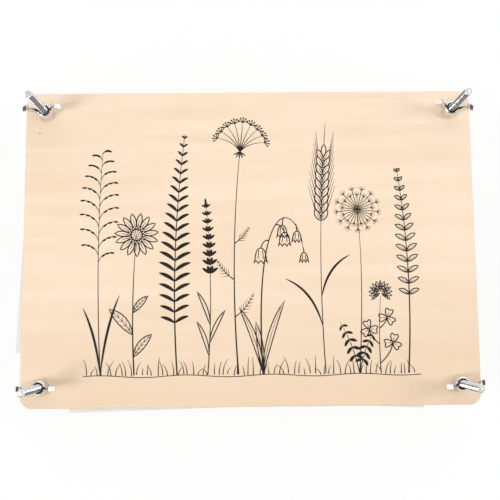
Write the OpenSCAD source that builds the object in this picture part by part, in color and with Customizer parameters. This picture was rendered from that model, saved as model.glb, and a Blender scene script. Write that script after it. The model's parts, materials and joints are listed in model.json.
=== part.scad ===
// Flower press: two wooden boards drawn together by four bolts and wing nuts,
// with corrugated cards and blotting paper layered between them.
// All sizes are in millimetres. +X runs along the boards, +Y to their rear, +Z up.

/* [Boards] */
// Length of both boards
board_l = 300; // [240:5:360]
// Width of both boards
board_w = 210; // [160:5:260]
// Thickness of each board
board_t = 9; // [8:0.5:14]
// Radius of the boards' corners
board_corner_r = 8; // [3:0.5:12]
// Bevel along the boards' edges
board_bevel = 0.6; // [0.2:0.1:1.2]
// Distance from the boards' edges to each bolt's axis
bolt_inset = 14; // [13.5:0.5:24]
// Gap around each bolt where the top board slides on it
slide_gap = 0.5; // [0.3:0.1:1]

/* [Bolts] */
// Diameter of the thread
bolt_d = 5; // [4:0.5:6]
// Length of each bolt above its head
bolt_l = 80; // [70:5:120]
// Chamfer at the tip of each bolt
bolt_tip = 0.6; // [0.2:0.1:1]
// Diameter of the round head
head_d = 13; // [10:0.5:16]
// Height of the round head
head_h = 3; // [2:0.25:3.5]
// Height of the upright rim around the head
head_rim = 0.6; // [0.3:0.1:1]
// Depth at which each head lies inside the bottom board's underside
head_sink = 0.5; // [0.2:0.1:0.8]
// Gap around each head in its recess
head_gap = 0.75; // [0.3:0.05:1.5]
// Height of the square neck that keeps a bolt from turning
neck_h = 3.5; // [2.5:0.25:4]
// Step from the thread out to each flat of the neck
neck_step = 0.2; // [0.1:0.05:0.5]
// Gap around the bolt in the bottom board
seat_gap = 0.05; // [0.02:0.01:0.1]

/* [Washers] */
// Outer diameter of each washer
washer_d = 10; // [8:0.5:14]
// Thickness of each washer
washer_t = 1; // [0.6:0.1:1.6]
// Gap between a washer and its bolt
washer_gap = 0.15; // [0.1:0.05:0.4]

/* [Wing nuts] */
// Diameter of the hub's foot
hub_foot_d = 11; // [9:0.5:13]
// Diameter of the hub's top
hub_top_d = 10.5; // [8:0.5:11]
// Height of the hub
hub_h = 7.5; // [5:0.5:8]
// Span over both wings
wing_span = 25; // [22:0.5:26.5]
// Height of the wings' tips over the hub's foot
wing_h = 15.5; // [13:0.5:17]
// Breadth and height of the slanted facet that ends each wing
wing_facet = 3.5; // [2.5:0.1:4]
// Thickness of the wings
wing_t = 1.4; // [1:0.1:3]
// Thickness of the rim behind each facet
rim_w = 1.8; // [1.2:0.1:2.4]
// Swelling of the rim beyond each side of the wing
rim_swell = 1; // [0.4:0.1:1.4]
// Running gap between the wing nut's bore and the thread
thread_gap = 0.05; // [0.02:0.01:0.1]
// Chamfer at both mouths of the bore
bore_chamfer = 0.4; // [0.2:0.1:0.6]

/* [Cards and blotting sheets] */
// Thickness of each corrugated card
card_t = 3; // [2:0.25:4]
// Distance that the cards stay inside the boards' outline
card_margin = 1; // [0.5:0.5:3]
// Thickness of the card's two liners
liner_t = 0.35; // [0.2:0.05:0.5]
// Thickness of the wavy layer inside the card
flute_t = 0.4; // [0.2:0.05:0.5]
// Distance from one wave to the next
flute_pitch = 6.5; // [5:0.5:9]
// Thickness of each blotting sheet
blotter_t = 0.5; // [0.3:0.1:1]
// Distance that the blotting sheets stay inside the boards' long edges
blotter_margin = 2.5; // [0.5:0.5:5]
// Largest turn of a loose sheet out of line with the boards, in degrees
loose_turn = 2.6; // [0:0.1:3]
// Largest shift of a loose sheet to one side
loose_shift = 4; // [0:0.5:5]
// Least gap between a bolt and the notches that pass it
notch_gap = 1; // [0.5:0.25:3]
// Gap between one layer and the next
layer_gap = 0.03; // [0.01:0.01:0.2]

/* [Hidden] */
// The four corners, as seen from above with the front edge nearest
corner_names = ["rear_left", "rear_right", "front_left", "front_right"];
corner_sides = [[-1, 1], [1, 1], [-1, -1], [1, -1]];
// How far each wing nut has been turned, in degrees
wing_turns = [4, -10, 0, 6.5];

// Each pair of blotting sheets lies between two cards
card_count = 6;
blotters_per_gap = 2;
blotter_count = (card_count - 1) * blotters_per_gap;

// How far out of line each loose sheet lies, from the lowest up
card_turn_shares = [0.10, -0.14, 0.06, 0.12, -0.10, 0.08];
card_shift_shares = [[0.10, 0.05], [-0.12, 0.08], [0.08, -0.10], [0.12, 0.06], [-0.05, -0.08], [0.06, 0.10]];
blotter_turn_shares = [0.10, -0.15, 0.18, -0.08, -0.20, 0.12, 0.16, -0.18, 0.55, -1];
blotter_shift_shares = [
    [0.10, -0.12], [-0.15, 0.10], [0.05, 0.15], [0.20, -0.05], [-0.10, -0.10],
    [0.12, 0.18], [-0.20, 0.04], [0.08, -0.15], [0.12, -0.90], [-1, 0.03]
];

$fn = 72;
// Overrun of every cut past the face it opens
overrun = 1;

bolt_r = bolt_d / 2;
bolt_x = board_l / 2 - bolt_inset;
bolt_y = board_w / 2 - bolt_inset;
seat_z = head_sink + head_h;
neck_w = bolt_d + 2 * neck_step;
dome_h = head_h - head_rim;
dome_r = (pow(head_d / 2, 2) + pow(dome_h, 2)) / (2 * dome_h);

// Step from one blotting sheet to the next, and from one card to the next
blotter_step = blotter_t + layer_gap;
card_step = card_t + layer_gap + blotters_per_gap * blotter_step;
stack_h = layer_gap + card_count * (card_t + layer_gap) + blotter_count * blotter_step;
lid_z = board_t + stack_h;
deck_z = lid_z + board_t;

// The wing's outline runs from inside the hub to its facet. Its upper edge bows in shares of the way.
root_x = (hub_top_d / 2 + bolt_r) / 2;
root_low_share = 0.2;
root_low = [root_x, hub_h * root_low_share];
root_high = [root_x, hub_h];
facet_high = [wing_span / 2 - wing_facet, wing_h];
facet_low = [wing_span / 2, wing_h - wing_facet];
heel_shares = [0.3, 0.8];
heel = facet_low - [wing_facet * heel_shares[0], wing_facet * heel_shares[1]];
brow = [hub_top_d / 2, hub_h];
bow_shares = [[0.05, 0.35], [0.45, 0.64]];

// The notches reach past each bolt by the room that a sheet's turn and shift take
notch_r = bolt_r + notch_gap;
notch_x = bolt_x - notch_r - board_w / 2 * sin(loose_turn) - loose_shift;
notch_y = bolt_y - notch_r - board_l / 2 * sin(loose_turn) - loose_shift;

// The wavy layer runs between the liners; each tunnel starts where the wave leaves the glue line
flute_swing = (card_t - 2 * liner_t - flute_t) / 2;
flute_count = floor((board_l - 2 * card_margin) / flute_pitch);
flute_steps = 6;
glue_share = 0.1;

// Height of the wave's middle at a share u of one pitch, from crest to crest
function wave_z(u) = card_t / 2 + flute_swing * cos(360 * u);

function card_z(i) = board_t + layer_gap + i * card_step;
function blotter_z(i) =
    let (gap = floor(i / blotters_per_gap))
    card_z(gap) + card_t + layer_gap + (i - gap * blotters_per_gap) * blotter_step;

module at_corner(i, z) {
    translate([corner_sides[i][0] * bolt_x, corner_sides[i][1] * bolt_y, z]) children();
}

// Puts a loose sheet at its own height, turn and shift
module loose(z, turn_share, shift_share) {
    shift = loose_shift * shift_share;
    translate([shift[0], shift[1], z]) rotate([0, 0, loose_turn * turn_share]) children();
}

// Cross-section of a board with bevelled edges
module board_section(w) {
    half = w / 2;
    polygon([
        [board_bevel - half, 0], [half - board_bevel, 0], [half, board_bevel], [half, board_t - board_bevel],
        [half - board_bevel, board_t], [board_bevel - half, board_t], [-half, board_t - board_bevel],
        [-half, board_bevel]
    ]);
}

module board_corner() {
    rotate_extrude() polygon([
        [0, 0], [board_corner_r - board_bevel, 0], [board_corner_r, board_bevel],
        [board_corner_r, board_t - board_bevel], [board_corner_r - board_bevel, board_t], [0, board_t]
    ]);
}

module board_blank() {
    corner_x = board_l / 2 - board_corner_r;
    corner_y = board_w / 2 - board_corner_r;
    rotate([90, 0, 0]) linear_extrude(height = 2 * corner_y, center = true) board_section(board_l);
    rotate([90, 0, 90]) linear_extrude(height = 2 * corner_x, center = true) board_section(board_w);
    for (side = corner_sides) translate([side[0] * corner_x, side[1] * corner_y, 0]) board_corner();
}

module bottom_board() {
    color("bisque") difference() {
        board_blank();
        for (i = [0 : 3]) at_corner(i, 0) {
            translate([0, 0, -overrun]) cylinder(h = seat_z + overrun, r = head_d / 2 + head_gap);
            translate([0, 0, seat_z + neck_h / 2]) cube(
                [neck_w + 2 * seat_gap, neck_w + 2 * seat_gap, neck_h + 2 * seat_gap], center = true);
            cylinder(h = board_t + overrun, r = bolt_r + seat_gap);
        }
    }
}

module top_board() {
    color("bisque") translate([0, 0, lid_z]) difference() {
        board_blank();
        for (i = [0 : 3]) at_corner(i, -overrun) cylinder(h = board_t + 2 * overrun, r = bolt_r + slide_gap);
    }
}

// A carriage bolt, standing on the flat side of its round head
module bolt(i) {
    color("silver") at_corner(i, seat_z) {
        cylinder(h = bolt_l - bolt_tip, r = bolt_r);
        translate([0, 0, bolt_l - bolt_tip]) cylinder(h = bolt_tip, r1 = bolt_r, r2 = bolt_r - bolt_tip);
        translate([0, 0, neck_h / 2]) cube([neck_w, neck_w, neck_h], center = true);
        mirror([0, 0, 1]) intersection() {
            cylinder(h = head_h, d = head_d);
            translate([0, 0, head_h - dome_r]) sphere(r = dome_r);
        }
    }
}

module washer(i) {
    color("gainsboro") at_corner(i, deck_z) difference() {
        cylinder(h = washer_t, d = washer_d);
        translate([0, 0, -overrun]) cylinder(h = washer_t + 2 * overrun, r = bolt_r + washer_gap);
    }
}

// One wing: a flat plate that ends in a slanted facet, with a thick rim behind the facet
module wing() {
    bow = [for (share = bow_shares) brow + [
        share[0] * (facet_high[0] - brow[0]), share[1] * (facet_high[1] - brow[1])]];
    inward = rim_w * sqrt(1 / 2) * [1, 1];
    rotate([90, 0, 0]) {
        linear_extrude(height = wing_t, center = true)
            polygon([root_low, heel, facet_low, facet_high, bow[1], bow[0], root_high]);
        linear_extrude(height = wing_t + 2 * rim_swell, center = true)
            polygon([facet_low, facet_high, facet_high - inward, facet_low - inward]);
    }
}

module bore_mouth() {
    cylinder(h = bore_chamfer, r1 = bolt_r + thread_gap + bore_chamfer, r2 = bolt_r + thread_gap);
}

module wing_nut(i) {
    color("silver") at_corner(i, deck_z + washer_t) rotate([0, 0, wing_turns[i]]) difference() {
        union() {
            cylinder(h = hub_h, d1 = hub_foot_d, d2 = hub_top_d);
            for (side = [0, 180]) rotate([0, 0, side]) wing();
        }
        translate([0, 0, -overrun]) cylinder(h = hub_h + 2 * overrun, r = bolt_r + thread_gap);
        bore_mouth();
        translate([0, 0, hub_h]) mirror([0, 0, 1]) bore_mouth();
    }
}

// Plan of the four corner notches, round inside, that let the bolts through the layers
module notches() {
    leg_x = board_l / 2 - notch_x + overrun;
    leg_y = board_w / 2 - notch_y + overrun;
    for (side = corner_sides) scale([side[0], side[1]]) translate([notch_x, notch_y]) {
        translate([notch_r, 0]) square([leg_x - notch_r, leg_y]);
        translate([0, notch_r]) square([leg_x, leg_y - notch_r]);
        translate([notch_r, notch_r]) circle(r = notch_r);
    }
}

module blotter(i) {
    color("whitesmoke") loose(blotter_z(i), blotter_turn_shares[i], blotter_shift_shares[i])
        linear_extrude(height = blotter_t) difference() {
            square([board_l, board_w - 2 * blotter_margin], center = true);
            notches();
        }
}

// Open tunnel between a liner and the wave below it, centred on the wave's trough
module tunnel() {
    mouth = [glue_share, 1 - glue_share];
    wave = [for (k = [0 : flute_steps]) mouth[0] + (mouth[1] - mouth[0]) * k / flute_steps];
    translate([-flute_pitch / 2, 0]) polygon(concat(
        [[mouth[0] * flute_pitch, card_t - liner_t]],
        [for (u = wave) [u * flute_pitch, wave_z(u) + flute_t / 2]],
        [[mouth[1] * flute_pitch, card_t - liner_t]]
    ));
}

module card_section() {
    card_l = board_l - 2 * card_margin;
    first_x = -(flute_count - 1) * flute_pitch / 2;
    difference() {
        translate([-card_l / 2, 0]) square([card_l, card_t]);
        for (k = [0 : flute_count - 1]) translate([first_x + k * flute_pitch, 0]) tunnel();
        for (k = [0 : flute_count - 2]) translate([first_x + (k + 0.5) * flute_pitch, card_t])
            mirror([0, 1]) tunnel();
    }
}

module card(i) {
    card_w = board_w - 2 * card_margin;
    color("burlywood") loose(card_z(i), card_turn_shares[i], card_shift_shares[i]) difference() {
        rotate([90, 0, 0]) linear_extrude(height = card_w, center = true) card_section();
        translate([0, 0, -overrun]) linear_extrude(height = card_t + 2 * overrun) notches();
    }
}

bottom_board();
top_board();
for (i = [0 : 3]) bolt(i);
for (i = [0 : 3]) washer(i);
for (i = [0 : 3]) wing_nut(i);
for (i = [0 : card_count - 1]) card(i);
for (i = [0 : blotter_count - 1]) blotter(i);
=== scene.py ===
import json
import math

import bpy
import numpy as np
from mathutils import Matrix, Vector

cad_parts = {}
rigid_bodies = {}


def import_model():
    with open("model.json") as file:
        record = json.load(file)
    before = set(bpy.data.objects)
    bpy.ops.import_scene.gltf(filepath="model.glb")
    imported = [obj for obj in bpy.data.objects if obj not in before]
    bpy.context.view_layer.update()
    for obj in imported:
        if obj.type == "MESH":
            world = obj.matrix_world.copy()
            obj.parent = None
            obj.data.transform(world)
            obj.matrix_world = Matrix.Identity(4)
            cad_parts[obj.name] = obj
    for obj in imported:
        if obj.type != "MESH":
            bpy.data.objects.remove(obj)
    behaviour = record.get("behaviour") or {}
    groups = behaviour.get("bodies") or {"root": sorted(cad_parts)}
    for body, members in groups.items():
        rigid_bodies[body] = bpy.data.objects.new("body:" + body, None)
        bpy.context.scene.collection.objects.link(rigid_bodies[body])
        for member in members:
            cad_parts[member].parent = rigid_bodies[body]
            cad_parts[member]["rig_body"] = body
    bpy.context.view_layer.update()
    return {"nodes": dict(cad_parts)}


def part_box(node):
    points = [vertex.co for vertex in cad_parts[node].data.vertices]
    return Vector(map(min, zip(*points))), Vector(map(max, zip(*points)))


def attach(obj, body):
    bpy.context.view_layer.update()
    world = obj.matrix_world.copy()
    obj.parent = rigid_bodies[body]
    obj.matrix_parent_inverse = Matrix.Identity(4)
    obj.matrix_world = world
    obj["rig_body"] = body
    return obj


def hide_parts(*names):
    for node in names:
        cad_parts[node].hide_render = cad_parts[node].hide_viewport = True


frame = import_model()

# Lengths in this script are in millimetres, and the frame's metres are turned into them
MM = 0.001

CORNERS = ["rear_left", "rear_right", "front_left", "front_right"]
CARD_COUNT = 6
BLOTTER_COUNT = 10


def box_mm(node):
    low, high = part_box(node)
    return np.array(low) / MM, np.array(high) / MM


def bolt_axis(corner):
    low, high = box_mm(f"bolt_{corner}")
    return (low + high)[:2] / 2


DECK = box_mm("top_board")[1][2]


def srgb(red, green, blue):
    """A colour given as on a screen, 0 to 255, in the linear form that shaders take."""
    shares = [value / 255 for value in (red, green, blue)]
    return tuple(s / 12.92 if s <= 0.04045 else ((s + 0.055) / 1.055) ** 2.4 for s in shares) + (1.0,)


# Shader building

def is_socket(value):
    return isinstance(value, bpy.types.NodeSocket)


def feed(node, inputs):
    """Gives each input a plain value, or a socket to link to."""
    for name, value in inputs.items():
        if is_socket(value):
            node.id_data.links.new(value, node.inputs[name])
        else:
            node.inputs[name].default_value = value


def put(tree, kind, inputs=None, **settings):
    node = tree.nodes.new("ShaderNode" + kind)
    for name, value in settings.items():
        setattr(node, name, value)
    feed(node, inputs or {})
    return node


def put_after(kind, inputs, **settings):
    """The outputs of a new node, in the same tree as the sockets that feed it."""
    tree = next(value.id_data for value in inputs.values() if is_socket(value))
    return put(tree, kind, inputs, **settings).outputs


def calc(operation, *values, clamp=False):
    return put_after("Math", dict(enumerate(values)), operation=operation, use_clamp=clamp)[0]


def inverse(share):
    return calc("SUBTRACT", 1.0, share)


def ease(value, low, high):
    """0 on the side of low, 1 on the side of high, and smooth in between."""
    inputs = {"Value": value, "From Min": low, "From Max": high}
    return put_after("MapRange", inputs, interpolation_type="SMOOTHSTEP")[0]


def between(share, low, high):
    """Turns 0 to 1 into low to high."""
    return put_after("MapRange", {"Value": share, "To Min": low, "To Max": high})[0]


def mix(share, first, second):
    return put_after("Mix", {0: share, 6: first, 7: second}, data_type="RGBA")[2]


def stained(tone, mask, share, colour):
    """The tone with a share of a colour laid over it where the mask is 1."""
    return mix(calc("MULTIPLY", mask, share), tone, colour)


def split(vector):
    return put_after("SeparateXYZ", {0: vector})


def mapped(vector, **change):
    return put_after("Mapping", {"Vector": vector, **change})[0]


def noise(vector, scale, detail=2.0, distortion=0.0):
    inputs = {"Vector": vector, "Scale": scale, "Detail": detail, "Distortion": distortion}
    return put_after("TexNoise", inputs)[0]


def effect_group(name, defaults, outputs):
    """An empty group that takes a vector and some numbers, and puts out shares from 0 to 1."""
    tree = bpy.data.node_groups.new(name, "ShaderNodeTree")
    tree.interface.new_socket("Vector", in_out="INPUT", socket_type="NodeSocketVector")
    for label, value in defaults.items():
        socket = tree.interface.new_socket(label, in_out="INPUT", socket_type="NodeSocketFloat")
        socket.default_value = value
    for label in outputs:
        tree.interface.new_socket(label, in_out="OUTPUT", socket_type="NodeSocketFloat")
    return tree, tree.nodes.new("NodeGroupInput").outputs, tree.nodes.new("NodeGroupOutput")


def laid_out(given, sizes):
    """The group's vector in streaks: on X, Y and Z it is divided by the inputs named in sizes."""
    rates = {axis: calc("DIVIDE", 1.0, given[size]) for axis, size in zip("XYZ", sizes)}
    inputs = {0: given["Vector"], 1: put_after("CombineXYZ", rates)[0]}
    return put_after("VectorMath", inputs, operation="MULTIPLY")[0]


def cloud_group():
    """Soft patches, such as tone in wood and tarnish on plating."""
    tree, given, out = effect_group("Clouds", {"Patch": 20.0, "Low": 0.35, "High": 0.65}, ["Amount"])
    grain = noise(given["Vector"], calc("DIVIDE", 1.0, given["Patch"]), detail=4.0)
    feed(out, {"Amount": ease(grain, given["Low"], given["High"])})
    return tree


def fibre_group():
    """Fibres that run along X: Length and Width are those of one streak."""
    tree, given, out = effect_group("Fibres", {"Length": 40.0, "Width": 1.0}, ["Amount", "Fine"])
    laid = laid_out(given, ["Length", "Width", "Width"])
    coarse = noise(laid, 1.0, detail=3.0, distortion=0.3)
    fine = noise(laid, 3.7, detail=3.0)
    feed(out, {"Amount": ease(coarse, 0.3, 0.7), "Fine": ease(fine, 0.35, 0.75)})
    return tree


def scuff_group():
    """Hairline marks in two directions, left by handling."""
    tree, given, out = effect_group("Scuffs", {"Length": 6.0, "Width": 0.15}, ["Marks"])
    marks = []
    for sizes in (["Length", "Width", "Length"], ["Width", "Length", "Width"]):
        marks.append(ease(noise(laid_out(given, sizes), 1.0, detail=1.0), 0.66, 0.74))
    feed(out, {"Marks": calc("MAXIMUM", *marks)})
    return tree


CLOUDS = cloud_group()
FIBRES = fibre_group()
SCUFFS = scuff_group()


def effect(group, vector, **inputs):
    return put_after("Group", {"Vector": vector, **inputs}, node_tree=group)


def new_material(name, constants):
    """A material with its shader, and the object's own coordinates in millimetres."""
    material = bpy.data.materials.new(name)
    material.use_nodes = True
    shader = material.node_tree.nodes["Principled BSDF"]
    feed(shader, constants)
    place = put(material.node_tree, "TexCoord").outputs["Object"]
    return material, shader, mapped(place, Scale=(1 / MM, 1 / MM, 1 / MM))


def raised(height, depth, strength):
    """Normal of a surface with a 0 to 1 height, depth millimetres deep."""
    return put_after("Bump", {"Height": height, "Distance": depth * MM, "Strength": strength})[0]


# Plywood

PLY_COUNT = 5
FLECK_PLACE = (-140.6, 77.4)
FLECK_RADIUS = 0.55
BOARD_SEED = 43.0
GRAIN_DEPTH = 0.03
# Painted shade on the board's face: how far towards the front it deepens, and its slant across the board
FRONT_SHADE_REACH = 125
FRONT_SHADE_SLANT = 0.12

FACE_PALE = srgb(252, 231, 206)
FACE_TAN = srgb(246, 221, 192)
FACE_WARM = srgb(253, 230, 208)
# Colour of the painted shade towards the front
FRONT_SHADE_COLOUR = srgb(233, 207, 177)
STREAK_TAN = srgb(242, 214, 180)
PORE_BROWN = srgb(214, 176, 138)
FLECK_BROWN = srgb(150, 112, 84)
GLUE_BROWN = srgb(150, 112, 78)
LONG_GRAIN = srgb(240, 214, 182), srgb(222, 190, 152)
END_GRAIN = srgb(222, 190, 154), srgb(196, 160, 122)


def ply_edge_colour(in_board, facing, board_t):
    """Plies in turn with their grain along X and along Y, and a glue line between each two."""
    level = calc("DIVIDE", split(in_board)["Z"], board_t / PLY_COUNT)
    crosswise = calc("MODULO", calc("FLOOR", level), 2.0)
    end_on = calc("ABSOLUTE", calc("SUBTRACT", crosswise, calc("ABSOLUTE", facing["X"])))
    long_grain = noise(mapped(in_board, Scale=(0.06, 0.06, 2.6)), 1.0, detail=4.0)
    end_grain = noise(in_board, 2.2, detail=3.0)
    along = mix(ease(long_grain, 0.3, 0.7), *LONG_GRAIN)
    across = mix(ease(end_grain, 0.35, 0.65), *END_GRAIN)
    wood = mix(end_on, along, across)
    top_ply = ease(level, PLY_COUNT - 0.5, PLY_COUNT - 0.6)
    inner = calc("MULTIPLY", ease(level, 0.5, 0.6), top_ply)
    from_glue = calc("PINGPONG", level, 0.5)
    glue = calc("MULTIPLY", inverse(ease(from_glue, 0.02, 0.07)), inner)
    return stained(wood, glue, 0.55, GLUE_BROWN)


def face_colour(in_mm, grown, streaks, pores, fleck_place):
    """Broad soft bands, warm patches, streaks and pores, painted shade that darkens it towards the front,
    and one small fleck.
    """
    broad = effect(FIBRES, grown, Length=190.0, Width=11.0)
    warm = effect(CLOUDS, grown, Patch=55.0)
    tone = mix(broad["Amount"], FACE_PALE, FACE_TAN)
    tone = stained(tone, warm["Amount"], 0.45, FACE_WARM)
    place = split(in_mm)
    frontward = calc("SUBTRACT", calc("MULTIPLY", place["X"], FRONT_SHADE_SLANT), place["Y"])
    # Painted shade: the face is darkened towards the front, a little more on the right
    tone = stained(tone, ease(frontward, 0, FRONT_SHADE_REACH), 0.7, FRONT_SHADE_COLOUR)
    tone = stained(tone, streaks["Amount"], 0.24, STREAK_TAN)
    tone = stained(tone, pores["Fine"], 0.16, PORE_BROWN)
    away = put_after("VectorMath", {0: in_mm, 1: fleck_place}, operation="DISTANCE")["Value"]
    fleck = inverse(ease(away, 0.4 * FLECK_RADIUS, 1.6 * FLECK_RADIUS))
    return stained(tone, fleck, 0.8, FLECK_BROWN)


def plywood(name, lowest, board_t, seed):
    """Pale sanded plywood with its face grain along X. Seed moves the pattern for each board."""
    material, shader, in_mm = new_material(name, {"Specular IOR Level": 0.35})
    grown = mapped(in_mm, Location=(seed, 3 * seed, 0))
    streaks = effect(FIBRES, grown, Length=32.0, Width=1.1)
    pores = effect(FIBRES, grown, Length=5.0, Width=0.22)
    facing = split(material.node_tree.nodes["Texture Coordinate"].outputs["Normal"])
    edge = ply_edge_colour(mapped(in_mm, Location=(0, 0, -lowest)), facing, board_t)
    face = face_colour(in_mm, grown, streaks, pores, (*FLECK_PLACE, lowest + board_t))
    flat = ease(calc("ABSOLUTE", facing["Z"]), 0.25, 0.4)
    feed(shader, {
        "Base Color": mix(flat, edge, face), "Roughness": between(streaks["Fine"], 0.5, 0.66),
        "Normal": raised(calc("ADD", streaks["Fine"], pores["Fine"]), GRAIN_DEPTH, 0.6)})
    return material


# Plated steel

PATCH_SHARE = 0.6
# Painted shade in narrow corners: the heights above the board where it fades in, and its colour
SHADE_CLEAR_LOW = 3
SHADE_CLEAR_HIGH = 8
PAINTED_SHADE = srgb(60, 54, 48)
CUT_ROUGH = 0.55
CUT_BLEND = 0.05
MARK_ROUGH = 0.12


def plating(name, tint, dull, roughness, grit, cut_above=None, shade_reach=None):
    """Zinc plate on steel: bright, with dull patches, hairline marks and a faint grit.
    Above cut_above, where one is given, the steel is a matt cut end.
    Where a reach for painted shade is given, corners narrower than that are painted dark as shade, found by
    ambient occlusion, clear of the board."""
    material, shader, in_mm = new_material(name, {"Metallic": 1.0})
    patches = effect(CLOUDS, in_mm, Patch=3.5)
    bloom = effect(CLOUDS, in_mm, Patch=0.8, Low=0.4, High=0.75)
    marks = effect(SCUFFS, in_mm)
    height = split(in_mm)["Z"]
    worn = calc("ADD", calc("MULTIPLY", patches["Amount"], PATCH_SHARE),
                calc("MULTIPLY", bloom["Amount"], 1 - PATCH_SHARE))
    tone = mix(worn, tint, dull)
    # Painted shade: ambient occlusion darkens the narrow corners, clear of the board
    if shade_reach is not None:
        occlusion = put(material.node_tree, "AmbientOcclusion", {"Distance": shade_reach * MM})
        clear = ease(height, DECK + SHADE_CLEAR_LOW, DECK + SHADE_CLEAR_HIGH)
        shade_share = calc("MULTIPLY", inverse(ease(occlusion.outputs["AO"], 0.45, 0.95)), clear)
        tone = mix(shade_share, tone, PAINTED_SHADE)
    rough = between(worn, *roughness)
    rough = calc("ADD", rough, calc("MULTIPLY", marks["Marks"], MARK_ROUGH), clamp=True)
    if cut_above is not None:
        cut = ease(height, cut_above, cut_above + CUT_BLEND)
        rough = calc("MAXIMUM", rough, calc("MULTIPLY", cut, CUT_ROUGH))
    feed(shader, {
        "Base Color": tone, "Roughness": rough,
        "Normal": raised(calc("SUBTRACT", bloom["Amount"], marks["Marks"]), grit, 0.5)})
    return material


# Card, paper and ink

FIBRE_DEPTH = 0.05
INK_BLACK = srgb(24, 21, 20)
INK_WORN = srgb(52, 45, 40)


def fibrous_sheet(name, pale, dark, length, width, share, rough):
    """Paper or card with its fibres along X, in two tones."""
    material, shader, in_mm = new_material(name, {"Roughness": rough, "Specular IOR Level": 0.2})
    fibres = effect(FIBRES, in_mm, Length=length, Width=width)
    patches = effect(CLOUDS, in_mm, Patch=14.0)
    tone = stained(pale, fibres["Fine"], share, dark)
    tone = stained(tone, patches["Amount"], 0.5 * share, dark)
    height = calc("ADD", fibres["Amount"], fibres["Fine"])
    feed(shader, {"Base Color": tone, "Normal": raised(height, FIBRE_DEPTH, 0.5)})
    return material


def print_ink():
    """Black screen ink, a little thinner where it sank into the grain."""
    material, shader, in_mm = new_material("Print ink", {"Specular IOR Level": 0.3})
    sunk = effect(FIBRES, in_mm, Length=8.0, Width=0.35)
    patches = effect(CLOUDS, in_mm, Patch=6.0)
    thin = calc("MULTIPLY", sunk["Fine"], patches["Amount"])
    feed(shader, {"Base Color": mix(thin, INK_BLACK, INK_WORN), "Roughness": between(thin, 0.55, 0.75)})
    return material


# Mesh building

SMOOTH_ANGLE = math.radians(50)


def add_object(name, data):
    thing = bpy.data.objects.new(name, data)
    bpy.context.scene.collection.objects.link(thing)
    return thing


def make_piece(name, shape, material, body, replaces=()):
    """A closed mesh from points in millimetres and faces, riding on a body of the frame."""
    points, faces = shape
    mesh = bpy.data.meshes.new(name)
    mesh.from_pydata((np.asarray(points) * MM).tolist(), [], faces)
    mesh.shade_smooth()
    mesh.set_sharp_from_angle(angle=SMOOTH_ANGLE)
    mesh.materials.append(material)
    piece = add_object(name, mesh)
    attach(piece, body)
    if replaces:
        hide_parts(*replaces)


def replace_node(node, suffix, shape, material):
    """A finer mesh in the place of a node of the CAD, on the same body."""
    make_piece(f"{node}_{suffix}", shape, material, frame["nodes"][node]["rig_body"], [node])


def joined(parts):
    """Several (points, faces) as one."""
    points, faces, count = [], [], 0
    for part_points, part_faces in parts:
        points.append(part_points)
        faces.extend([[i + count for i in face] for face in part_faces])
        count += len(part_points)
    return np.concatenate(points), faces


def turner(angle):
    """Matrix that turns rows of X and Y by an angle."""
    return np.array([[math.cos(angle), math.sin(angle)], [-math.sin(angle), math.cos(angle)]])


def lifted(plan, z):
    """X, Y and Z from rows of X and Y and a height."""
    return np.concatenate([plan, np.broadcast_to(z, plan.shape[:-1])[..., None]], -1)


def neighbours(row):
    """Each item of a closed row with the one after it."""
    return zip(row, row[1:] + row[:1])


# Bolts

THREAD_R = 2.5
THREAD_DEPTH = 0.47
THREAD_PITCH = 0.8
THREAD_RUN_IN = 1.6
CREST_SHARE = 0.14
ROOT_SHARE = 0.2
SEAM = 0.02
BOLT_COLUMNS = 24
BOLT_LENGTH = 80
TIP_CHAMFER = 0.6
TIP_DOME = 0.18
TIP_LIP = 0.12
TIP_LIP_WIDTH = 0.04
TIP_RING_SHARES = (0.96, 0.75, 0.45, 0.2)
HEAD_HEIGHT = 3
HEAD_RIM = 0.6
HEAD_EDGE = ((0.15, 0), (0.04, 0.03), (0, 0.15))
HEAD_RING_SHARES = (0.15, 0.3, 0.45, 0.6, 0.75, 0.88, 0.97, 1.0)
NECK_HEIGHT = 3.5
NECK_HALF = 2.7


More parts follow.
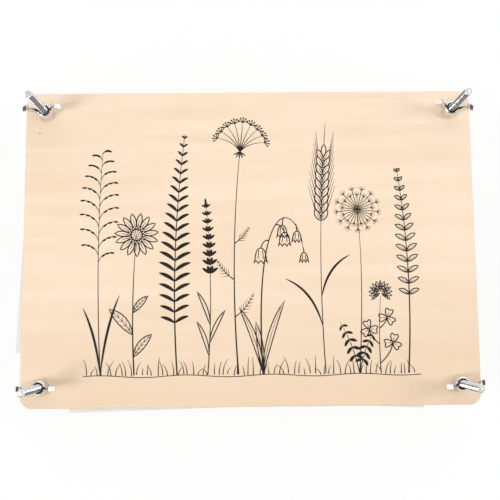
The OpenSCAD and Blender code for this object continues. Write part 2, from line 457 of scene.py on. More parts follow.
def bolt_shape(axis, foot, head_r):
    """Carriage bolt from the crown of its round head up to its tip."""
    angles = 2 * np.pi * np.arange(BOLT_COLUMNS) / BOLT_COLUMNS
    around = np.stack([np.cos(angles), np.sin(angles)], 1)
    square = NECK_HALF / np.maximum(np.abs(around[:, 0]), np.abs(around[:, 1]))
    seat = foot + HEAD_HEIGHT
    tip = seat + BOLT_LENGTH
    crown_h = HEAD_HEIGHT - HEAD_RIM
    crown_r = (head_r ** 2 + crown_h ** 2) / (2 * crown_h)
    points, faces = [], []

    def ring(z, radius):
        first = len(points)
        points.extend(lifted(around * np.reshape(radius, (-1, 1)) + axis, z))
        return list(range(first, first + BOLT_COLUMNS))

    def skin(rows):
        for low, high in zip(rows, rows[1:]):
            for k in range(BOLT_COLUMNS):
                after = (k + 1) % BOLT_COLUMNS
                faces.append([low[k], low[after], high[after], high[k]])

    def close(row, z, upward):
        points.append(np.array([*axis, z]))
        for p, q in neighbours(row):
            faces.append([p, q, len(points) - 1] if upward else [q, p, len(points) - 1])

    shank = []
    for share in HEAD_RING_SHARES:
        shank.append(ring(foot + crown_r - math.sqrt(crown_r ** 2 - (share * head_r) ** 2), share * head_r))
    for drop, pull in HEAD_EDGE:
        shank.append(ring(seat - drop, head_r - pull))
    neck_top = seat + NECK_HEIGHT
    start = neck_top + THREAD_PITCH
    for radius, heights in ((square, (seat, neck_top)), (THREAD_R - THREAD_DEPTH / 2, (neck_top, start))):
        shank.extend([ring(z, radius) for z in heights])
    skin(shank)
    close(shank[0], foot, False)
    end = [ring(tip - TIP_LIP, THREAD_R - TIP_CHAMFER + TIP_LIP_WIDTH)]
    for share in TIP_RING_SHARES:
        end.append(ring(tip - TIP_DOME * share ** 2, (THREAD_R - TIP_CHAMFER) * share))
    skin(end)
    close(end[-1], tip, True)
    wind_thread(points, faces, axis, around, shank[-1], end[0], start, tip - TIP_LIP)
    return np.array(points), faces


def wind_thread(points, faces, axis, around, low_ring, high_ring, start, end):
    """Helical V thread between two rings: a crest and a root on each turn, each with two edges."""
    flank = (1 - CREST_SHARE - ROOT_SHARE) / 2
    edges = [0, CREST_SHARE, CREST_SHARE + flank, 1 - flank]
    turns = int((end - start) / THREAD_PITCH) + 2
    number = {}

    def vertex(row, k):
        if k == BOLT_COLUMNS:
            return vertex(row + len(edges), 0)
        turn, edge = divmod(row, len(edges))
        z = start + THREAD_PITCH * (turn - 1 + edges[edge] + k / BOLT_COLUMNS)
        if z <= start + SEAM:
            return low_ring[k]
        if z >= end - SEAM:
            return high_ring[k]
        if (row, k) not in number:
            grown = min(1, (z - start) / THREAD_RUN_IN)
            depth = THREAD_DEPTH * (1 if edge > 1 else 0) * grown + THREAD_DEPTH / 2 * (1 - grown)
            chamfer = THREAD_R - TIP_CHAMFER * max(0, 1 - (end - z) / TIP_CHAMFER)
            radius = min(THREAD_R - depth, chamfer)
            number[row, k] = len(points)
            points.append(np.array([*(axis + around[k] * radius), z]))
        return number[row, k]

    for row in range(-len(edges), (turns + 1) * len(edges)):
        for k in range(BOLT_COLUMNS):
            quad = [vertex(row, k), vertex(row, k + 1), vertex(row + 1, k + 1), vertex(row + 1, k)]
            face = [p for p, q in neighbours(quad) if p != q]
            if len(face) > 2:
                faces.append(face)


# Wing nuts

HUB_FOOT_R = 5.5
HUB_TOP_R = 4.7
HUB_HEIGHT = 7.5
HUB_TOP_ROUND = 0.6
HUB_FOOT_ROUND = 0.3
CROWN_R = 3.5
CROWN_SLOPE = math.radians(28)
BORE_R = 2.55
MOUTH_WIDTH = 0.8
MOUTH_DEPTH = 1.8
WING_REACH = 12.5
WING_HEIGHT = 15.5
WING_ROOT = [(3.9, 1.5), (11.45, 9.2)]
WING_BOW = [(6.94, 12.62), (5.44, 10.3), (3.9, 7.5)]
FACET_SPAN = 3.5
FACET_ROUND = 0.3
WEB_ROUND = 0.7
CORNER_ROUND = 0.3
WEB_HALF = 0.7
RIM_HALF = 1.7
RIM_FADE = (1.4, 2.2)
ROOT_SWELL = 0.5
ROOT_REACH = 2.5
ROOT_ROUND = 1.0
WING_END_SHARE = 0.8
NET_STEP = 0.2
NET_MARGIN = 0.47
SETTLE_ROUNDS = 3
SETTLE_LIMIT = 0.4
LEAST_SLOPE_SQUARED = 0.2


def smooth_min(a, b, reach):
    share = np.clip(0.5 + 0.5 * (b - a) / reach, 0, 1)
    return b + (a - b) * share - reach * share * (1 - share)


def smooth_max(a, b, reach):
    return -smooth_min(-a, -b, reach)


def smooth_step(value, low, high):
    share = np.clip((value - low) / (high - low), 0, 1)
    return share * share * (3 - 2 * share)


def past_outline(x, z, outline):
    """Distance past the nearest side of an outline, negative inside."""
    near = np.full(x.shape, np.inf)
    inside = np.zeros(x.shape, bool)
    for (x0, z0), (x1, z1) in neighbours(outline):
        along = ((x - x0) * (x1 - x0) + (z - z0) * (z1 - z0)) / ((x1 - x0) ** 2 + (z1 - z0) ** 2)
        along = np.clip(along, 0, 1)
        near = np.minimum(near, np.hypot(x - x0 - along * (x1 - x0), z - z0 - along * (z1 - z0)))
        if z0 != z1:
            level = (z0 > z) != (z1 > z)
            inside ^= level & (x < x0 + (z - z0) * (x1 - x0) / (z1 - z0))
    return np.where(inside, -near, near)


def drawn_in(outline, inset):
    """The outline with every side moved inwards. Its sides run anticlockwise."""
    moved = []
    for before, here, after in zip(outline[-1:] + outline[:-1], outline, outline[1:] + outline[:1]):
        inward = []
        for (x0, z0), (x1, z1) in ((before, here), (here, after)):
            inward.append(np.array((z0 - z1, x1 - x0)) / math.hypot(x1 - x0, z1 - z0))
        moved.append(tuple(here + inset * (inward[0] + inward[1]) / (1 + inward[0] @ inward[1])))
    return moved


FACET = [(WING_REACH, WING_HEIGHT - FACET_SPAN), (WING_REACH - FACET_SPAN, WING_HEIGHT)]
WING_CORE = drawn_in(WING_ROOT + FACET + WING_BOW, CORNER_ROUND)


def wing_nut_depth(points):
    """How far each point lies outside the nut, negative within, around an axis at the foot's middle."""
    x, y, z = np.abs(points[..., 0]), np.abs(points[..., 1]), points[..., 2]
    radius = np.hypot(x, y)
    side = radius - (HUB_FOOT_R - (HUB_FOOT_R - HUB_TOP_R) * z / HUB_HEIGHT)
    crown = (z - HUB_HEIGHT) * math.cos(CROWN_SLOPE) + (radius - CROWN_R) * math.sin(CROWN_SLOPE)
    hub = smooth_max(smooth_max(side, crown, HUB_TOP_ROUND), -z, HUB_FOOT_ROUND)
    profile = past_outline(x, z, WING_CORE) - CORNER_ROUND
    behind_facet = (WING_REACH + WING_HEIGHT - FACET_SPAN - x - z) * math.sqrt(0.5)
    rim = 1 - smooth_step(behind_facet, *RIM_FADE)
    root = smooth_step(-x, -HUB_FOOT_R - ROOT_REACH, -HUB_TOP_R)
    half = WEB_HALF + (RIM_HALF - WEB_HALF) * rim + ROOT_SWELL * root
    wing = smooth_max(profile, y - half, FACET_ROUND + WEB_ROUND * (1 - rim))
    mouth = smooth_step(z, HUB_HEIGHT - MOUTH_DEPTH, HUB_HEIGHT - 0.5 * MOUTH_DEPTH)
    mouth = mouth + smooth_step(-z, -MOUTH_DEPTH, 0)
    bore = BORE_R + MOUTH_WIDTH * mouth - radius
    return smooth_max(smooth_min(hub, wing, ROOT_ROUND), bore, CORNER_ROUND)


def grid_part(parts):
    """The index of a stretch of a grid: the part given for an axis, and all of the others."""
    return tuple(parts.get(axis, slice(None)) for axis in range(3))


def surface_net(depth_of, low, high, step):
    """Closed skin where depth_of is zero: one point in each grid cell that it crosses."""
    axes = [np.arange(a, b + step, step) for a, b in zip(low, high)]
    grid = np.stack(np.meshgrid(*axes, indexing="ij"), -1)
    depth = depth_of(grid)
    cells = tuple(n - 1 for n in depth.shape)
    total, hits = np.zeros(cells + (3,)), np.zeros(cells)
    all_but_last, all_but_first = slice(0, -1), slice(1, None)
    unit = np.eye(3, dtype=int)
    quads = []
    for axis in range(3):
        u, v = [k for k in range(3) if k != axis]
        near = grid_part({axis: all_but_last})
        far = grid_part({axis: all_but_first})
        a, b = depth[near], depth[far]
        cross = (a < 0) != (b < 0)
        where = grid[near].copy()
        where[..., axis] += np.where(cross, a / np.where(cross, a - b, 1), 0) * step
        for part_u in (all_but_last, all_but_first):
            for part_v in (all_but_last, all_but_first):
                source = grid_part({u: part_u, v: part_v})
                total += where[source] * cross[source][..., None]
                hits += cross[source]
        inner = grid_part({u: slice(1, -1), v: slice(1, -1)})
        for place in np.argwhere(cross[inner]):
            cell = place + unit[u] + unit[v]
            ring = [tuple(cell - du * unit[u] - dv * unit[v]) for du, dv in ((1, 1), (0, 1), (0, 0), (1, 0))]
            outward = a[tuple(cell)] < 0
            quads.append(ring if outward == (axis != 1) else ring[::-1])
    used = hits > 0
    number = np.full(cells, -1)
    number[used] = np.arange(used.sum())
    points = total[used] / hits[used][:, None]
    for _ in range(SETTLE_ROUNDS):
        points = settled(points, depth_of, step)
    return points, [[int(number[cell]) for cell in quad] for quad in quads]


def settled(points, depth_of, step):
    """Moves points onto the zero surface along its slope."""
    nudge = 0.02 * step
    depth = depth_of(points)
    slope = np.stack([depth_of(points + nudge * unit) - depth for unit in np.eye(3)], -1) / nudge
    move = depth / np.maximum((slope ** 2).sum(-1), LEAST_SLOPE_SQUARED)
    move = np.clip(move, -SETTLE_LIMIT * step, SETTLE_LIMIT * step)
    return points - slope * move[:, None]


def turn_of_wings(node, axis):
    """Direction of the wings of a wing nut in the frame, from its farthest points."""
    co = np.array([v.co for v in frame["nodes"][node].data.vertices])[:, :2] / MM - axis
    reach = np.hypot(*co.T)
    far = co[reach > WING_END_SHARE * reach.max()]
    spread = far.T @ far
    return 0.5 * math.atan2(2 * spread[0, 1], spread[0, 0] - spread[1, 1])


# Cards and blotting sheets

FLUTE_PITCH = 6.5
FLUTE_T = 0.4
LINER_T = 0.35
STEPS_PER_FLUTE = 16
CARD_COLUMN = 10
CARD_ROWS = 12
SHEET_T = 0.46
SHEET_COLUMN = 7
SHEET_ROWS = 26
CUT_FRAY = 0.12
SAG_RATE = 0.014
RIPPLE = 0.02
RIPPLE_SPANS = (17, 23)
NOTCH_FILLET = THREAD_R + 1
NOTCH_COLUMN_SHARES = (-0.01, 0.01, 0.15, 0.35, 0.65, 1)
TURN_LIMIT_DEG = 4
TURN_TRIES = 801
EDGE_BAND = 0.05


def lie_of_sheet(node):
    """Where a sheet of the frame lies, how far it is turned, and its notched outline."""
    co = np.array([v.co for v in frame["nodes"][node].data.vertices]) / MM
    low, high = co.min(0), co.max(0)
    centre = (low + high)[:2] / 2
    plan = co[:, :2] - centre
    turns = np.radians(np.linspace(-TURN_LIMIT_DEG, TURN_LIMIT_DEG, TURN_TRIES))
    areas = [np.prod(np.ptp(plan @ turner(-turn), axis=0)) for turn in turns]
    turn = turns[np.argmin(areas)]
    x, y = np.abs(plan @ turner(-turn)).T
    return {
        "centre": centre, "turn": turn, "low": low[2], "high": high[2], "half_l": x.max(), "half_w": y.max(),
        "notch_x": x[y > y.max() - EDGE_BAND].max(), "notch_y": y[x > x.max() - EDGE_BAND].max()}


def reach_across(lie, x):
    """Half width of a notched sheet at x, with a round inner corner in each notch."""
    past = abs(x) - lie["notch_x"]
    if past <= 0:
        return lie["half_w"]
    if past >= NOTCH_FILLET:
        return lie["notch_y"]
    return lie["notch_y"] + NOTCH_FILLET - math.sqrt(NOTCH_FILLET ** 2 - (NOTCH_FILLET - past) ** 2)


def columns_along(lie, step):
    """Places along a sheet, closer together at the notches."""
    count = int(2 * lie["half_l"] / step)
    places = list(np.linspace(-lie["half_l"], lie["half_l"], count + 1))
    for share in NOTCH_COLUMN_SHARES:
        places += [side * (lie["notch_x"] + share * NOTCH_FILLET) for side in (-1, 1)]
    return np.array(sorted(places))


def sheet_shell(lie, places, middle_of, thickness, rows, seed):
    """Closed sheet around a middle height, column by column, with slightly frayed cut edges."""
    drift = np.random.default_rng(seed)
    wander = drift.uniform(-CUT_FRAY, CUT_FRAY, (2, len(places)))
    ends = drift.uniform(-CUT_FRAY, CUT_FRAY, (2, rows + 1))
    plan = np.zeros((len(places), rows + 1, 2))
    for i, x in enumerate(places):
        reach = reach_across(lie, x)
        plan[i, :, 0] = x
        plan[i, :, 1] = np.linspace(-reach + wander[0, i], reach + wander[1, i], rows + 1)
    plan[0, :, 0] += ends[0]
    plan[-1, :, 0] += ends[1]
    placed = plan @ turner(lie["turn"]) + lie["centre"]
    middle = middle_of(plan, placed)
    low, high = [lifted(placed, middle + side * thickness / 2).reshape(-1, 3) for side in (-1, 1)]
    index = np.arange(len(low)).reshape(plan.shape[:2])
    quads = np.stack([index[:-1, :-1], index[1:, :-1], index[1:, 1:], index[:-1, 1:]], -1).reshape(-1, 4)
    faces = np.stack([quads + len(low), quads[:, ::-1]], 1).reshape(-1, 4).tolist()
    border = np.concatenate([index[:, 0], index[-1, 1:], index[-2::-1, -1], index[0, -2:0:-1]]).tolist()
    for p, q in neighbours(border):
        faces.append([p, q, q + len(low), p + len(low)])
    return np.concatenate([low, high]), faces


def card_shape(lie, seed):
    """Two flat liners with a wavy layer glued between them."""
    low, high = lie["low"], lie["high"]
    swing = (high - low - 2 * LINER_T - FLUTE_T) / 2
    flat = columns_along(lie, CARD_COLUMN)
    waves = columns_along(lie, FLUTE_PITCH / STEPS_PER_FLUTE)

    def wave(plan, placed):
        return (low + high) / 2 - swing * np.cos(2 * np.pi * plan[..., 0] / FLUTE_PITCH)

    return joined([
        sheet_shell(lie, flat, lambda plan, placed: low + LINER_T / 2, LINER_T, CARD_ROWS, seed),
        sheet_shell(lie, waves, wave, FLUTE_T, 1, seed + 1),
        sheet_shell(lie, flat, lambda plan, placed: high - LINER_T / 2, LINER_T, CARD_ROWS, seed + 2)])


def blotter_shape(lie, card_half, seed):
    """Soft sheet with a faint ripple, that sags a little where it hangs out past the cards."""
    def middle(plan, placed):
        past = np.maximum(np.abs(placed[..., 0]) - card_half[0], np.abs(placed[..., 1]) - card_half[1])
        waves = placed / RIPPLE_SPANS + (seed, -seed)
        ripple = RIPPLE * np.sin(waves[..., 0]) * np.sin(waves[..., 1])
        return (lie["low"] + lie["high"]) / 2 - SAG_RATE * np.maximum(past, 0) ** 2 + ripple

    return sheet_shell(lie, columns_along(lie, SHEET_COLUMN), middle, SHEET_T, SHEET_ROWS, seed)


# Printed meadow on the top board

PRINT_PROUD = 0.04
PRINT_SUNK = 0.02
PRINT_LAYERS = 8
LAYER_STEP = 0.004
LINE = 0.7
FINE_LINE = 0.5
BOLD_LINE = 1.0
GROUND_Y = -84
LEAST_MITRE = 0.3

strokes = []


def ink(points, width=LINE, shape="plain"):
    """Adds one stroke: plain, tapered to its end, a lens that swells in its middle, or a closed loop."""
    points = np.asarray(points, float)
    share = np.linspace(0, 1, len(points))
    even = np.full(len(points), width)
    swelling = width * np.sqrt(np.clip(np.sin(np.pi * share), 0.02, 1))
    widths = {"plain": even, "loop": even, "tapered": width * (1 - 0.7 * share), "lens": swelling}
    strokes.append((points, widths[shape] / 2, shape == "loop"))


def hair(*points, width=FINE_LINE):
    ink(points, width, "tapered")


def bezier(*control, count=14):
    """Points on the curve that a few control points pull."""
    t = np.linspace(0, 1, count)[:, None]
    points = [np.asarray(p, float) * np.ones((count, 1)) for p in control]
    while len(points) > 1:
        points = [a * (1 - t) + b * t for a, b in zip(points, points[1:])]
    return points[0]


def heading(angle):
    return np.array([math.cos(angle), math.sin(angle)])


def at(path, share):
    """Point on a path at a share of it, and the path's direction there."""
    place = share * (len(path) - 1)
    i = min(int(place), len(path) - 2)
    step = path[i + 1] - path[i]
    return path[i] + step * (place - i), math.atan2(step[1], step[0])


def outline_leaf(base, angle, length, breadth, curl=0.0, width=LINE):
    """A pointed leaf. Its two sides come back, each from the leaf's base to its tip."""
    ahead, aside = heading(angle), heading(angle + math.pi / 2)
    sides = []
    for side in (-1, 1):
        out = side * breadth * 0.66 * aside + curl * length * aside
        low = base + 0.3 * length * ahead + out
        high = base + 0.72 * length * ahead + out
        sides.append(bezier(base, low, high, base + length * ahead, count=9))
    ink(np.concatenate([sides[0], sides[1][::-1][1:-1]]), width, "loop")
    return sides


def veined_leaf(base, angle, length, breadth, curl=0.0, veins=5):
    """Outlined leaf with a middle vein and slanting side veins."""
    sides = outline_leaf(base, angle, length, breadth, curl)
    middle = (sides[0] + sides[1]) / 2
    hair(*middle)
    for k in range(veins):
        spot = at(middle, 0.16 + 0.62 * k / (veins - 1))[0]
        for side in sides:
            edge = at(side, 0.32 + 0.6 * k / (veins - 1))[0]
            hair(spot, spot + 0.84 * (edge - spot), width=FINE_LINE * 0.8)


def solid_leaf(base, angle, length, breadth, curl=0.0):
    tip = base + length * heading(angle)
    middle = base + 0.5 * length * heading(angle) + curl * length * heading(angle + math.pi / 2)
    ink(bezier(base, middle, tip, count=8), breadth, "lens")


def dot(centre, size):
    ink([centre - (size / 2, 0), centre, centre + (size / 2, 0)], size, "lens")


def stalk(foot, height, lean, bow, width=BOLD_LINE):
    """Stem from the ground line, leaning by lean at its top and bowed on its way."""
    base = np.array([foot, GROUND_Y])
    top = base + (lean, height)
    path = bezier(base, base + (bow, height * 0.35), top - (lean * 0.4 - bow, height * 0.3), top, count=40)
    hair(*path, width=width)
    return path


def fern(reach, bare, solid, *stem):
    """Frond of paired leaflets that shorten towards its tip, above a bare share of its stem."""
    path = stalk(*stem)
    pairs = int((1 - bare) * stem[1] / 6.4)
    for k in range(pairs):
        share = bare + (0.98 - bare) * k / (pairs - 1)
        base, angle = at(path, share)
        length = reach * (1 - share) ** 0.75 * min(1, 0.62 + 1.6 * (share - bare)) + 1.8
        for side in (-1, 1):
            tilt = angle + side * (1.22 - 0.4 * share)
            if solid:
                solid_leaf(base, tilt, length, 0.9 + 0.13 * length, curl=-0.16 * side)
            else:
                outline_leaf(base, tilt, length, 1.1 + 0.2 * length, curl=-0.08 * side)
                hair(base, base + 0.7 * length * heading(tilt - side * 0.06))


def lavender(*stem):
    path = stalk(*stem, width=LINE)
    whorls = 9
    for k in range(whorls):
        base, angle = at(path, 0.57 + 0.41 * k / (whorls - 1))
        size = 6.3 - 0.34 * k
        for turn in (-0.95, -0.34, 0.34, 0.95):
            solid_leaf(base, angle + turn, size * (1 if abs(turn) > 0.5 else 0.85), 0.34 * size)
    solid_leaf(*at(path, 1), 4.2, 1.5)
    for side, share in ((-1, 0.1), (1, 0.17), (-1, 0.27)):
        base, angle = at(path, share)
        outline_leaf(base, angle - side * 0.4, 24, 2.4, curl=0.07 * side)


def wheat(*stem):
    """Bearded ear: paired grains, each with a long straight awn."""
    path = stalk(*stem, width=LINE)
    rows = 9
    for k in range(rows):
        base, angle = at(path, 0.68 + 0.3 * k / (rows - 1))
        for side in (-1, 1):
            tilt = angle + side * 0.5
            outline_leaf(base, tilt, 8.6, 3.3, curl=0.05 * side)
            hair(base + 1.4 * heading(tilt), base + 5.6 * heading(tilt))
            tip = base + 8.4 * heading(tilt)
            hair(tip, tip + (17 - 0.5 * k) * heading(angle + side * (0.3 - 0.018 * k)))
    top, up = at(path, 1)
    outline_leaf(top, up, 8.6, 3.2)
    hair(top + 8.4 * heading(up), top + 24 * heading(up))
    for share, side, length in ((0.2, -1, 40), (0.33, 1, 34)):
        base, angle = at(path, share)
        tip = base + length * heading(angle - side * 0.62)
        middle = base + 0.62 * length * heading(angle - side * 0.2)
        ink(bezier(base, middle, tip), 1.5, "lens")


def long_daisy(size, *stem):
    path = stalk(*stem)
    centre = path[-1]
    petals = 15
    for k in range(petals):
        angle = 2 * math.pi * (k + 0.3) / petals
        outline_leaf(centre + 0.3 * size * heading(angle), angle, size * 0.74, size * 0.25)
        crease = centre + 0.42 * size * heading(angle)
        hair(crease, crease + 0.34 * size * heading(angle))
    rim = [centre + 0.27 * size * heading(2 * math.pi * k / 18) for k in range(18)]
    ink(rim, BOLD_LINE, "loop")
    for radius, count in ((0.18, 10), (0.1, 6), (0.0, 1)):
        for k in range(count):
            dot(centre + radius * size * heading(2 * math.pi * k / count), 0.065 * size)
    for share, side, length in ((0.12, 1, 19), (0.27, -1, 23), (0.42, 1, 15)):
        base, angle = at(path, share)
        veined_leaf(base, angle - side * 0.72, length, 0.27 * length, curl=0.06 * side)


def dandelion_clock(*stem):
    path = stalk(*stem, width=LINE)
    centre = path[-1]
    dot(centre, 3.4)
    spokes = 26
    for k in range(spokes):
        angle = 2 * math.pi * (k + 0.5) / spokes
        spot = centre + (13.2 if k % 2 else 9.2) * heading(angle)
        ink([centre + 1.6 * heading(angle), spot], FINE_LINE * 0.85)
        for turn in (-1.0, -0.5, 0, 0.5, 1.0):
            hair(spot, spot + 3.1 * heading(angle + turn), width=FINE_LINE * 0.8)
    base = path[0]
    for side, length in ((-1, 33), (0.8, 26)):
        rib = bezier(base, base + (side * 4, length * 0.6), base + (side * 12, length))
        hair(*rib, width=LINE)
        for step in range(4, 13, 2):
            spot, along = at(rib, step / 13)
            size = 5.6 * math.sin(math.pi * (0.25 + 0.6 * step / 14))
            for turn in (-1, 1):
                solid_leaf(spot, along + turn * 2.2, size, 0.32 * size + 0.3, curl=-0.12 * turn)


def bell(hang, long, wide):
    """A bell that hangs from a point, with a scalloped rim and two creases."""
    sides = []
    for side in (-wide, wide):
        sides.append(bezier(
            hang, hang + (side * 1.4, -0.6), hang + (side * 0.9, -long * 0.75), hang + (side * 1.5, -long)))
    rim = []
    for x in np.linspace(-1.5, 1.5, 19):
        rim.append(hang + (wide * x, -long + 2.0 * abs(math.sin(math.pi * (x + 1.5)))))
    ink(np.concatenate([sides[0], rim[1:-1], sides[1][::-1][:-1]]), LINE, "loop")
    for shift in (-0.4 * wide, 0.4 * wide):
        ink(bezier(hang + (shift, -1.5), hang + (shift * 1.4, -long * 0.7)), FINE_LINE)


def bluebell(foot, height, lean, bow):
    """Arching stem with bells that hang from short hooks."""
    base = np.array([foot, GROUND_Y])
    path = bezier(base, base + (bow, height * 0.7), base + (lean * 0.1, height * 1.25),
                  base + (lean * 0.95, height * 1.12), base + (lean * 1.05, height * 0.84), count=48)
    hair(*path, width=BOLD_LINE)
    hooks = ((0.42, -5.5, 5), (0.53, 6, 5), (0.66, -1.5, 5), (0.82, 1, 4.5), (1, 0.6, 3))
    for k, (share, out, drop) in enumerate(hooks):
        spot = at(path, share)[0]
        hang = spot + (out, -drop)
        ink(bezier(spot, spot + (0.6 * out, 1.2), hang, count=8))
        bell(hang, 10.4 - 0.9 * k, 3.2 - 0.25 * k)
    for turn, length in ((0.34, 46), (-0.3, 50), (0.13, 34)):
        low, high = outline_leaf(base, math.pi / 2 + turn, length, 3.8, curl=-0.2 * turn)
        hair(*((low + high) / 2)[:-1])


def umbel(*stem):
    """Flat head of rays, each with a small tuft of florets."""
    path = stalk(*stem)
    top, up = at(path, 1)
    rays = 9
    for k in range(rays):
        swing = 2 * k / (rays - 1) - 1
        angle = up + math.radians(64) * swing
        reach = 20 - 2.5 * abs(swing)
        spot = top + reach * heading(angle)
        bend = top + 0.5 * reach * heading(0.6 * angle + 0.4 * up)
        hair(*bezier(top, bend, spot, count=8), width=LINE)
        for j in range(5):
            end = spot + 3.3 * heading(angle + math.radians(34) * (j - 2))
            ink([spot, end], FINE_LINE)
            dot(end, 1.3)
    for k in range(5):
        solid_leaf(top, up + math.pi + math.radians(28) * (k - 2), 5, 0.9)
    for share, side in ((0.24, -1), (0.4, 1), (0.56, -1)):
        base, angle = at(path, share)
        length = 24 - 16 * share
        bend = base + 0.5 * length * heading(angle + side * 1.0)
        rib = bezier(base, bend, base + length * heading(angle + side * 0.7), count=12)
        hair(*rib, width=LINE)
        for step in range(2, 8):
            spot, along = at(rib, step / 8)
            for turn in (-1, 1):
                hair(spot, spot + 0.28 * length * (1.1 - step / 9) * heading(along + turn * 0.8))


def trefoil(join, angle, size):
    """Three heart-shaped leaflets round one point."""
    for turn in (-2.0, 0, 2.0):
        lobe = angle + turn
        notch = join + 0.82 * size * heading(lobe)
        for half in (-1, 1):
            swell = join + 0.75 * size * heading(lobe + half * 0.9)
            crest = join + 1.5 * size * heading(lobe + half * 0.42)
            ink(bezier(join, swell, crest, notch, count=12))
        hair(join + 0.2 * size * heading(lobe), join + 0.62 * size * heading(lobe))


def clover(*stem):
    path = stalk(*stem, width=LINE)
    head = path[-1] + (0, 2.5)
    for reach, count in ((6.6, 13), (4.2, 9), (1.8, 5)):
        for k in range(count):
            angle = math.pi / 2 + math.radians(128) * (2 * k / (count - 1) - 1)
            base = head + reach * 0.5 * heading(angle)
            outline_leaf(base, angle, 3.2 + 0.2 * reach, 1.3, width=FINE_LINE)
    for share, side, length in ((0.12, -1, 16), (0.36, 1, 12), (0.56, -1, 9)):
        base, angle = at(path, share)
        join = base + length * heading(angle + side * 0.6)
        ink(bezier(base, base + 0.6 * length * heading(angle + side * 0.9), join))
        trefoil(join, angle + side * 0.3, 5.6)


def plume_grass(*stem):
    """Open panicle of drooping seed sprays."""
    path = stalk(*stem, width=LINE)
    sprays = 17
    for k in range(sprays):
        base, angle = at(path, 0.48 + 0.51 * k / (sprays - 1))
        reach = 11 * math.sin(math.pi * (0.25 + 0.7 * k / (sprays - 1))) + 2
        side = 1 if k % 2 else -1
        bend = base + 0.6 * reach * heading(angle + side * 0.3)
        rib = bezier(base, bend, base + reach * heading(angle + side * 0.85), count=8)
        ink(rib, FINE_LINE * 0.85)
        for share in (0.4, 0.7, 1.0):
            spot, along = at(rib, share)
            solid_leaf(spot, along + side * 0.3, 3.4, 1.25)
    base = path[0]
    for side, length in ((-1, 44), (1, 52)):
        blade = bezier(base, base + (side * 3, length * 0.6), base + (side * 12, length), count=12)
        ink(blade, 1.6, "lens")


def ground_tufts(left, right):
    """Short blades along the ground line."""
    drift = np.random.default_rng(7)
    for foot in np.arange(left, right, 3.3):
        base = np.array([foot + drift.uniform(-0.8, 0.8), GROUND_Y + drift.uniform(-0.8, 0.4)])
        height, lean = drift.uniform(4, 12), drift.uniform(-4, 4)
        hair(*bezier(base, base + (0, height * 0.6), base + (lean, height), count=7), width=LINE)
    line = [(x, GROUND_Y - 0.8 + 0.7 * math.sin(x / 9.0)) for x in np.linspace(left - 2, right + 2, 70)]
    ink(line, FINE_LINE)


# The plants from the left to the right. Each row ends with the stem's foot, height, lean and bow,
# and the last one with the tufts' left and right ends
MEADOW = [
    ("plume_grass", plume_grass, -98, 148, 0, -3),
    ("long_daisy", long_daisy, 14, -76, 92, 1, -2),
    ("fern_left", fern, 16, 0.2, True, -48, 160, 5, -4),
    ("lavender", lavender, -28, 112, -1, 3),
    ("umbel", umbel, -8, 148, 2, -4),
    ("bluebell", bluebell, 8, 98, 26, -4),
    ("wheat", wheat, 49, 144, 1, -3),
    ("dandelion_clock", dandelion_clock, 71, 108, 1, 3),
    ("clover", clover, 85, 50, 1, -1),
    ("fern_right", fern, 13, 0.36, False, 103, 136, -4, 4),
    ("ground_tufts", ground_tufts, -107, 109)]


def stroke_shape(points, half, closed, proud):
    """A flat ribbon of ink along a path, sunk a little into the wood."""
    after = np.roll(points, -1, 0) - points
    before = points - np.roll(points, 1, 0)
    if not closed:
        after[-1], before[0] = before[-1], after[0]
    along = after / np.hypot(*after.T)[:, None] + before / np.hypot(*before.T)[:, None]
    along /= np.maximum(np.hypot(*along.T), LEAST_MITRE)[:, None]
    across = np.stack([-along[:, 1], along[:, 0]], 1) * half[:, None]
    rows = []
    for side, z in ((1, -PRINT_SUNK), (-1, -PRINT_SUNK), (-1, proud), (1, proud)):
        rows.append(lifted(points + side * across, DECK + z))
    count = len(points)
    faces = []
    for i in range(count if closed else count - 1):
        here, there = 4 * i, 4 * ((i + 1) % count)
        for p, q in neighbours([0, 1, 2, 3]):
            faces.append([here + p, there + p, there + q, here + q])
    if not closed:
        faces.append([0, 1, 2, 3])
        faces.append([4 * count - 1, 4 * count - 2, 4 * count - 3, 4 * count - 4])
    return np.stack(rows, 1).reshape(-1, 3), faces


# Pieces

def dress_boards():
    for seed, node in enumerate(("bottom_board", "top_board"), 1):
        low, high = box_mm(node)
        wood = plywood(f"Plywood {node}", float(low[2]), float(high[2] - low[2]), BOARD_SEED * seed)
        frame["nodes"][node].data.materials[0] = wood


def dress_washers():
    steel = plating(
        "Washer plating", srgb(214, 214, 216), srgb(180, 180, 182), roughness=(0.2, 0.32), grit=0.01)
    for corner in CORNERS:
        frame["nodes"][f"washer_{corner}"].data.materials[0] = steel


def make_bolts():
    cut_end = float(box_mm("bolt_rear_left")[1][2]) - TIP_DOME - TIP_LIP
    steel = plating("Bolt plating", srgb(238, 238, 240), srgb(212, 212, 214), roughness=(0.09, 0.15),
                    grit=0.01, cut_above=cut_end)
    for corner in CORNERS:
        node = f"bolt_{corner}"
        low, high = box_mm(node)
        shape = bolt_shape(bolt_axis(corner), low[2], (high[0] - low[0]) / 2)
        replace_node(node, "threaded", shape, steel)


def make_wing_nuts():
    # The wing nuts get painted shade in corners narrower than 8 mm
    steel = plating("Wing nut plating", srgb(236, 234, 231), srgb(214, 211, 207), roughness=(0.14, 0.22),
                    grit=0.015, shade_reach=8)
    reach, half, top = WING_REACH + NET_MARGIN, HUB_FOOT_R + NET_MARGIN, WING_HEIGHT + NET_MARGIN
    points, faces = surface_net(wing_nut_depth, (-reach, -half, -NET_MARGIN), (reach, half, top), NET_STEP)
    for corner in CORNERS:
        node = f"wing_nut_{corner}"
        axis = bolt_axis(corner)
        plan = points[:, :2] @ turner(turn_of_wings(node, axis)) + axis
        placed = lifted(plan, points[:, 2] + box_mm(node)[0][2])
        replace_node(node, "cast", (placed, faces), steel)


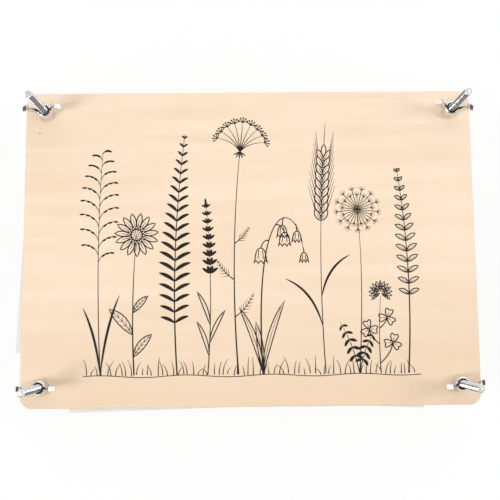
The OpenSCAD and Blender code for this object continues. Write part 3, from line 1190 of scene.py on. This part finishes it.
def make_sheets():
    kraft = fibrous_sheet("Kraft card", srgb(196, 160, 120), srgb(152, 116, 80),
                          length=5.0, width=0.35, share=0.7, rough=0.85)
    paper = fibrous_sheet("Blotting paper", srgb(253, 253, 251), srgb(247, 246, 243),
                          length=2.5, width=0.3, share=0.5, rough=0.95)
    for k in range(1, CARD_COUNT + 1):
        lie = lie_of_sheet(f"card_{k}")
        replace_node(f"card_{k}", "corrugated", card_shape(lie, 10 * k), kraft)
    card_half = (lie["half_l"], lie["half_w"])
    for k in range(1, BLOTTER_COUNT + 1):
        shape = blotter_shape(lie_of_sheet(f"blotter_{k}"), card_half, k)
        replace_node(f"blotter_{k}", "sheet", shape, paper)


def make_print():
    """The meadow, a piece for each plant. Its strokes lie in layers, so that crossing ones don't flicker."""
    material = print_ink()
    layer = 0
    for plant, draw, *sizes in MEADOW:
        strokes.clear()
        draw(*sizes)
        shapes = []
        for points, half, closed in strokes:
            layer = (layer + 1) % PRINT_LAYERS
            shapes.append(stroke_shape(points, half, closed, PRINT_PROUD + layer * LAYER_STEP))
        make_piece(f"print_{plant}", joined(shapes), material, "lid")


# Studio

FLOOR_HALF = 250
FLOOR_NEAR = 200
FLOOR_NEAR_SHARE = 0.88
WHITE = (1, 1, 1, 1)
TABLE_WHITE = srgb(252, 252, 252)
HORIZON = (1.25, 1.25, 1.25, 1)
UPPER_FRONT = (0.2, 0.2, 0.205, 1)
UPPER_REAR = (0.3, 0.3, 0.3, 1)
ZENITH = (0.08, 0.08, 0.085, 1)
UNDERFOOT = (0.1, 0.1, 0.1, 1)
SOFTBOXES = {
    "softbox_left": {"place": (-870, -350, 1090), "size": 500, "watts": 7.5},
    "softbox_right": {"place": (1000, 30, 990), "size": 450, "watts": 5.7},
    "softbox_rear": {"place": (220, 820, 780), "size": 1500, "watts": 3.9}}

# Camera, measured from the middle of the top board's face
CAMERA_PLACE = (-3.72, -52.5, 466.1)
CAMERA_TILT_DEG = (6.10, -0.42, -0.53)
CAMERA_LENS = 50.9


def make_floor():
    """Matt white table. To the camera it turns plain white away from the press, with the shadow kept."""
    half = FLOOR_HALF * MM
    corners = [(-half, -half, 0), (half, -half, 0), (half, half, 0), (-half, half, 0)]
    mesh = bpy.data.meshes.new("floor")
    mesh.from_pydata(corners, [], [(0, 1, 2, 3)])
    material = bpy.data.materials.new("Floor")
    material.use_nodes = True
    tree = material.node_tree
    tree.nodes.clear()
    seen = put(tree, "LightPath").outputs["Is Camera Ray"]
    matt = put(tree, "BsdfDiffuse", {"Color": TABLE_WHITE}).outputs[0]
    white = put(tree, "Emission", {"Color": WHITE}).outputs[0]
    place = put(tree, "TexCoord").outputs["Object"]
    away = put_after("VectorMath", {0: place}, operation="LENGTH")["Value"]
    plain = between(ease(away, FLOOR_NEAR * MM, FLOOR_HALF * MM), FLOOR_NEAR_SHARE, 1.0)
    share = calc("MULTIPLY", seen, plain)
    mixed = put_after("MixShader", {0: share, 1: matt, 2: white})[0]
    put_after("OutputMaterial", {"Surface": mixed})
    mesh.materials.append(material)
    add_object("floor", mesh)


def make_world():
    """Pale near the horizon, grey above it and darker in front, dark overhead and underfoot.
    The camera sees it as white."""
    world = bpy.data.worlds.new("Studio")
    bpy.context.scene.world = world
    world.use_nodes = True
    tree = world.node_tree
    tree.nodes.clear()
    way = split(put(tree, "TexCoord").outputs["Generated"])
    upper = mix(ease(way["Y"], -0.35, 0.75), UPPER_FRONT, UPPER_REAR)
    colour = mix(ease(way["Z"], 0.4, 0.62), HORIZON, upper)
    colour = mix(ease(way["Z"], 0.8, 0.92), colour, ZENITH)
    colour = mix(ease(way["Z"], -0.1, 0.0), UNDERFOOT, colour)
    seen = put(tree, "LightPath").outputs["Is Camera Ray"]
    background = put_after("Background", {"Color": mix(seen, colour, WHITE)})
    put_after("OutputWorld", {"Surface": background[0]})


def make_softbox(name, place, size, watts):
    light = bpy.data.lights.new(name, "AREA")
    light.shape = "SQUARE"
    light.size = size * MM
    light.energy = watts
    lamp = add_object(name, light)
    lamp.location = [v * MM for v in place]
    lamp.rotation_mode = "QUATERNION"
    lamp.rotation_quaternion = (-lamp.location).to_track_quat("-Z", "Y")


def make_camera():
    data = bpy.data.cameras.new("camera")
    data.lens = CAMERA_LENS
    camera = add_object("camera", data)
    x, y, z = CAMERA_PLACE
    camera.location = (x * MM, y * MM, (z + DECK) * MM)
    camera.rotation_euler = [math.radians(a) for a in CAMERA_TILT_DEG]
    bpy.context.scene.camera = camera


def build():
    dress_boards()
    dress_washers()
    make_bolts()
    make_wing_nuts()
    make_sheets()
    make_print()
    make_floor()
    make_world()
    for name, softbox in SOFTBOXES.items():
        make_softbox(name, **softbox)
    make_camera()
    bpy.context.scene.view_settings.view_transform = "Standard"


build()
